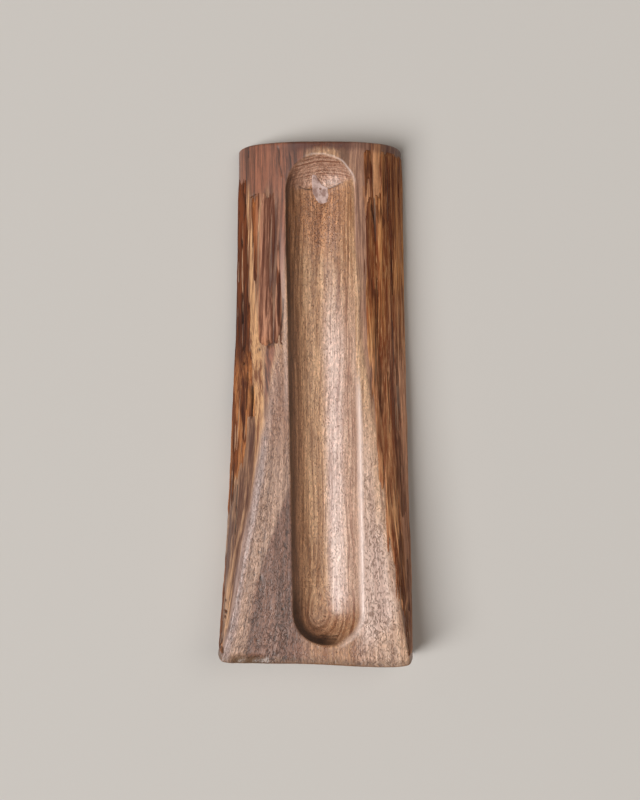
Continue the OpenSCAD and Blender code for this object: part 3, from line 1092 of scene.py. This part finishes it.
def build_body(material):
    """The carved log as one closed mesh: top surface, underside, rounded arrises and sawn ends."""
    points, masks = body_surface()
    rows, columns = points.shape[:2]
    shell = Shell()
    ids = shell.add(points, masks)
    shell.faces = grid_faces(rows, columns).tolist()
    across = np.linspace(0, 1, UNDER_COLUMNS)
    under_x = blend(points[:, :1, 0], points[:, -1:, 0], across[None, :])
    row_y = np.repeat(row_positions()[:, None], UNDER_COLUMNS, 1)
    under = np.stack([under_x, row_y + dressing(under_x, row_y), np.zeros(under_x.shape)], 2)
    under_masks = cut_masks(masks, under_x, row_y, under[..., 2], 0.0, 1.0)
    inner = shell.add(under[:, 1:-1], {name: value[:, 1:-1] for name, value in under_masks.items()})
    under_ids = np.concatenate([ids[:, :1], inner, ids[:, -1:]], 1)
    for first, second in zip(under_ids[:-1], under_ids[1:]):
        shell.strip(first, second, True)
    for row, end_sign in ((0, 1), (rows - 1, -1)):
        loop = np.concatenate([points[row], under[row, -2:0:-1]])
        loop_ids = np.concatenate([ids[row], under_ids[row, -2:0:-1]])
        loop_masks = {
            name: np.concatenate([masks[name][row], under_masks[name][row, -2:0:-1]]) for name in masks
        }
        rim, rim_ids = end_arris(shell, loop, loop_ids, loop_masks, end_sign)
        end_face(shell, rim, rim_ids, columns, end_sign)
    joined = {name: np.concatenate([part[name] for part in shell.masks]) for name in masks}
    return make_piece(
        "carved_tray", np.concatenate(shell.points), shell.faces, joined, material, "tray_body"
    )


# ======== the inner bark
# How far the skin of bark stands off the wood, and how far its inner face and its seam lie inside it.
BAST_THICKNESS, BAST_DEPTH, SEAM_DEPTH = 0.8, 0.9, 0.4
# The skin stops short of the sawn ends and of the table.
BAST_END_GAP, BAST_FOOT_GAP = 5, 0.3
BAST_ROW_STEP, BAST_SAMPLES = 1.8, 400
LEFT_BAST_COLUMNS, RIGHT_BAST_COLUMNS = 150, 130


def torn_edge(x, y, z, shift=0):
    """Unevenness of the bark's torn edges."""
    broad = bast_noise(x * 0.4, y * 0.016, z * 0.4 + shift)
    return 1.5 * broad + 0.8 * bast_noise(x * 1.2, y * 0.04, z * 1.2)


def left_cover(x, y, z):
    """How much inner bark is left on the left flank: above 0 it shows."""
    ragged = torn_edge(x, y, z)
    to_sap, from_sap = sapwood_edges(y)
    band_limit = np.where(y > -10, to_sap - 0.5, blend(-51.0, -71.0, smooth(-y, 10, 110)))
    band = smooth(band_limit - x + 1.3 * ragged, -1.0, 1.5) * smooth(-y - 3 * ragged, -178, -160)
    patch_end = smooth(y + 0.5 * ragged, 45.2, 46.6)
    patch_limit = path_x(y, [(-200, -40), (46, -25.5), (80, -25.5), (120, -28), (165, -31)])
    patch = smooth(x - from_sap + ragged, 0.0, 2.0) * smooth(patch_limit - x + ragged, -1.0, 2.0)
    patch *= patch_end * smooth(-y - 5 * ragged, -166, -148)
    thin = smooth(bast_noise(x * 0.5, y * 0.010, z * 0.5 + 8), -0.55, -0.05)
    low_thin = smooth(bast_noise(x * 0.35, y * 0.008, z * 0.35 + 21), -0.1, 0.35)
    return np.maximum(band, patch) * thin * blend(1.0, low_thin, smooth(-y, 0, 70))


def right_cover(x, y, z):
    """How much inner bark is left on the right flank: above 0 it shows."""
    ragged = torn_edge(x, y, z, 50)
    torn = blend(1.3, 3.4, smooth(-y, -10, 50))
    cover = smooth(x - path_x(y, RIGHT_BORDER) + 0.8 + torn * ragged, -0.5, 2.0)
    cover *= smooth(-y - 2 * ragged, -196, -190)
    bare = bare_share(x, y)
    thin = smooth(bast_noise(x * 0.5, y * 0.012, z * 0.5 + 68), -0.8, -0.3)
    sparse = 1 - 0.6 * smooth(-y + 4 * ragged, 150, 190)
    return cover * (1 - bare) * thin * sparse


def bast_grid(side, columns):
    """Rows of points over one flank's bare wood, from the foot to beside the trough."""
    rows = []
    for y in np.arange(LENGTH / 2 - BAST_END_GAP, -LENGTH / 2 + BAST_END_GAP, -BAST_ROW_STEP):
        stop = trough_x(y) + side * (TROUGH_HALF * 1.06 + 1.5)
        last = np.arccos(np.clip((stop - crest_x(y)) * side / reach(side, y), -1, 1))
        limit = np.arcsin(np.clip((HEIGHT + 5 - axis_z(y)) / crest_rise(y), -1, 1))
        x, z = on_log(side, y, np.linspace(foot_angle(y) + 0.05, min(last, limit), BAST_SAMPLES))
        x, z = evened(x, soft_min(z, HEIGHT, SHOULDER_SOFTNESS), columns)
        rows.append(np.stack([x, np.full(columns, y), z], 1))
    points = np.array(rows)
    return points[:, ::-1] if side > 0 else points


def build_bast(name, side, columns, cover_at, tints_at, material, replaced):
    """A closed ragged skin of inner bark over one flank, dipping into the wood where none is left."""
    points = bast_grid(side, columns)
    x, y, z = (points[..., i].copy() for i in range(3))
    lift, relief, dark = wood_lift(x, y, z, np.zeros(x.shape))
    normals = grid_normals(points)
    cover = cover_at(x, y, z)
    fibres = 0.30 * (relief - 0.5) + 0.18 * bast_noise(x * 1.4, y * 0.03, z * 1.4)
    stand = (BAST_THICKNESS + fibres) * cover - 0.35 * fade(cover, 0, 0.3)
    height = np.full(x.shape, -SEAM_DEPTH)
    height[1:-1, 1:-1] = stand[1:-1, 1:-1]
    outer = points + (lift + height)[..., None] * normals
    inner = points + (lift - BAST_DEPTH)[..., None] * normals
    for surface in (outer, inner):
        surface[..., 1] += dressing(surface[..., 0], surface[..., 1])
        surface[..., 2] = np.maximum(surface[..., 2], BAST_FOOT_GAP)
    ids = np.arange(x.size).reshape(x.shape)
    border = np.concatenate([ids[0, :-1], ids[:-1, -1], ids[-1, :0:-1], ids[:0:-1, 0]])
    faces = np.concatenate([
        grid_faces(*x.shape),
        grid_faces(*x.shape, x.size)[:, ::-1],
        loop_faces(border, border + x.size)[:, ::-1],
    ])
    masks = {
        "relief": relief,
        # Painted shade in the cracks, and at the torn edge where the bark sinks into the wood.
        "dark": np.maximum(dark * 0.9, smooth(-stand, -0.25, 0.1) * 0.5),
        "lean": 0.4 * grain_lean(x, y),
        **tints_at(x, y),
    }
    masks = {key: np.tile(value.ravel(), 2) for key, value in masks.items()}
    vertices = np.concatenate([outer.reshape(-1, 3), inner.reshape(-1, 3)])
    return make_piece(name, vertices, faces.tolist(), masks, material, replaced)


def left_tints(x, y):
    """Colour masks of the left flank's bark."""
    golden = smooth(-y, -60, 0) * (0.45 + 0.4 * bast_noise(x * 0.3, y * 0.012, 6.0))
    rim = smooth(left_edge(y) + 3.5 + 1.2 * bast_noise(x * 0.4, y * 0.03, 9.0) - x, -1.0, 1.5)
    outer = np.maximum(smooth(-x, 49, 53) * smooth(y, 20, 50), 0.45 * rim)
    return {
        "pinkish": np.maximum(smooth(x, -47, -40) * smooth(y, 30, 60), 0.7 * smooth(-y, 60, 110)),
        "golden": np.clip(golden * (1 - 0.5 * rim), 0, 1),
        "deep": np.maximum(patches_share(LEFT_DARK_PATCHES, x, y), outer),
    }


def right_tints(x, y):
    """Colour masks of the right flank's bark."""
    golden = blend(1.0, 0.45, smooth(y, 40, 90)) + 0.3 * bast_noise(x * 0.12, y * 0.02, 5.0)
    outer = smooth(x + 1.5 * bast_noise(x * 0.4, y * 0.02, 7.0) - path_x(y, RIGHT_OUTER_BAND), -1, 2)
    return {
        "pinkish": np.clip(0.5 * smooth(-y, -70, -20) + 0.5 * outer * smooth(-y, -100, -60), 0, 1),
        "golden": np.clip(golden, 0, 1),
        "deep": 0.65 * patches_share(RIGHT_DARK_PATCHES, x, y),
    }


# ======== the filled knot
# Corners of the filler's outline about the knot's middle, running anticlockwise from the right.
FILLER_CORNERS = [
    (5.2, 2.1), (2.1, 3.1), (-1.9, 7.8), (-3.3, 10.6), (-6.0, 11.2), (-6.4, 8.4), (-6.5, 3.7),
    (-5.6, -2.5), (-3.2, -6.6), (-1.6, -9.6), (1.8, -10.3), (4.8, -9.4), (6.2, -4.6),
]
FILLER_SCALE = 1.06
FILLER_POINTS, FILLER_RINGS = 96, 22


def filler_outline():
    """The filler's torn outline in plan, as evenly spaced points."""
    corners = np.array(FILLER_CORNERS + FILLER_CORNERS[:1])
    across, along = evened(corners[:, 0], corners[:, 1], FILLER_POINTS + 1)
    x, y = KNOT_X + FILLER_SCALE * across[:-1], KNOT_Y + FILLER_SCALE * along[:-1]
    return x + 0.35 * edge_noise(x * 1.2, y * 1.2, 41.0), y + 0.35 * edge_noise(x * 1.2, y * 1.2, 43.0)


def build_filler(material):
    """A ragged plug whose face follows the trough, with a small pit."""
    edge_x, edge_y = filler_outline()
    shares = np.append(np.linspace(0.0, 0.97, FILLER_RINGS)[1:], [1.0, 1.0])[:, None]
    x = blend(KNOT_X - 1.5, edge_x, shares)
    y = blend(KNOT_Y, edge_y, shares)
    pit = fade(np.hypot(x - KNOT_X, y - KNOT_Y - 1), 0.3, 1.0)
    z = trough_height(x, y) + gouge_relief(x, y) + 0.30 + 0.12 * bast_noise(x * 0.5, y * 0.5)
    z -= 0.6 * smooth(shares, 0.9, 1.0) + 1.6 * pit
    z[-1] -= 3.0
    rings = np.arange(x.size).reshape(x.shape)
    faces = []
    for inner, outer in zip(rings[:-1], rings[1:]):
        faces += loop_faces(outer, inner).tolist()
    faces += [rings[0].tolist(), rings[-1, ::-1].tolist()]
    vertices = np.stack([x, y, z], -1).reshape(-1, 3)
    # The pit is painted dark: painted shade in it.
    masks = {"dark": pit.ravel()}
    return make_piece("filled_knot", vertices, faces, masks, material, "knot_filler")


build_body(wood_material())
bark = bast_material()
build_bast("left_bast", -1, LEFT_BAST_COLUMNS, left_cover, left_tints, bark, "left_inner_bark")
build_bast("right_bast", 1, RIGHT_BAST_COLUMNS, right_cover, right_tints, bark, "right_inner_bark")
build_filler(filler_material())

# ======== camera, light and floor
scene = bpy.context.scene
# The camera looks straight down with a 70 mm lens, from where the picture is 607.5 mm high.
CAMERA_X, CAMERA_Y = 3.6, 3.3
LENS, SENSOR = 70.0, 36.0
SEEN_HEIGHT = 607.5
# Studio lights in metres: name, place, target, size, power and colour.
LIGHTS = [
    ("key", (-8.16, -3.60, 11.68), (0, 0, 0.02), (5.4, 10.8), 2010.0, (1.0, 0.99, 0.985)),
    ("fill", (8.4, 3.6, 15.6), (0, 0, 0), (12.0, 12.0), 760.0, (1.0, 0.93, 0.86)),
]
# The floor's half width and how far it lies below the tray, in metres.
FLOOR_HALF, FLOOR_DROP = 16.0, 0.0002
FLOOR_COLOUR = (0.62, 0.60, 0.57, 1)
WALL_COLOUR = (0.36, 0.343, 0.32, 1)
CEILING_COLOUR = (0.075, 0.064, 0.055, 1)


def make_camera():
    data = bpy.data.cameras.new("camera")
    data.lens = LENS
    data.sensor_width = SENSOR
    camera = add_object("camera", data)
    camera.location = (CAMERA_X * MM, CAMERA_Y * MM, (HEIGHT + SEEN_HEIGHT * LENS / SENSOR) * MM)
    scene.camera = camera


def area_light(name, place, target, size, power, colour):
    """A rectangular light that faces its target and stays level from side to side."""
    data = bpy.data.lights.new(name, "AREA")
    data.shape = "RECTANGLE"
    data.size, data.size_y = size
    data.energy = power
    data.color = colour
    lamp = add_object(name, data)
    lamp.location = place
    aim = np.array(target) - np.array(place)
    turn = math.atan2(aim[0], -aim[1]) + math.pi
    lamp.rotation_euler = (math.acos(-aim[2] / np.linalg.norm(aim)), 0, turn)


def make_floor():
    """A plain pale floor just under the tray."""
    mesh = bpy.data.meshes.new("floor")
    signs = ((-1, -1), (1, -1), (1, 1), (-1, 1))
    corners = [(x * FLOOR_HALF, y * FLOOR_HALF, -FLOOR_DROP) for x, y in signs]
    mesh.from_pydata(corners, [], [(0, 1, 2, 3)])
    material = bpy.data.materials.new("floor")
    material.use_nodes = True
    shader = material.node_tree.nodes["Principled BSDF"]
    shader.inputs["Base Color"].default_value = FLOOR_COLOUR
    shader.inputs["Roughness"].default_value = 0.9
    mesh.materials.append(material)
    add_object("floor", mesh)


def make_world():
    """Pale studio walls near the horizon and a dim warm ceiling."""
    world = bpy.data.worlds.new("studio")
    world.use_nodes = True
    graph = Graph(world.node_tree)
    direction = graph.node("TexCoord").outputs["Generated"]
    height = graph.node("SeparateXYZ", {0: direction}).outputs["Z"]
    colour = graph.mix(graph.band(height, 0.02, 0.30), WALL_COLOUR, CEILING_COLOUR)
    graph.put(world.node_tree.nodes["Background"].inputs["Color"], colour)
    scene.world = world


make_camera()
for light in LIGHTS:
    area_light(*light)
make_floor()
make_world()
scene.view_settings.view_transform = "Standard"
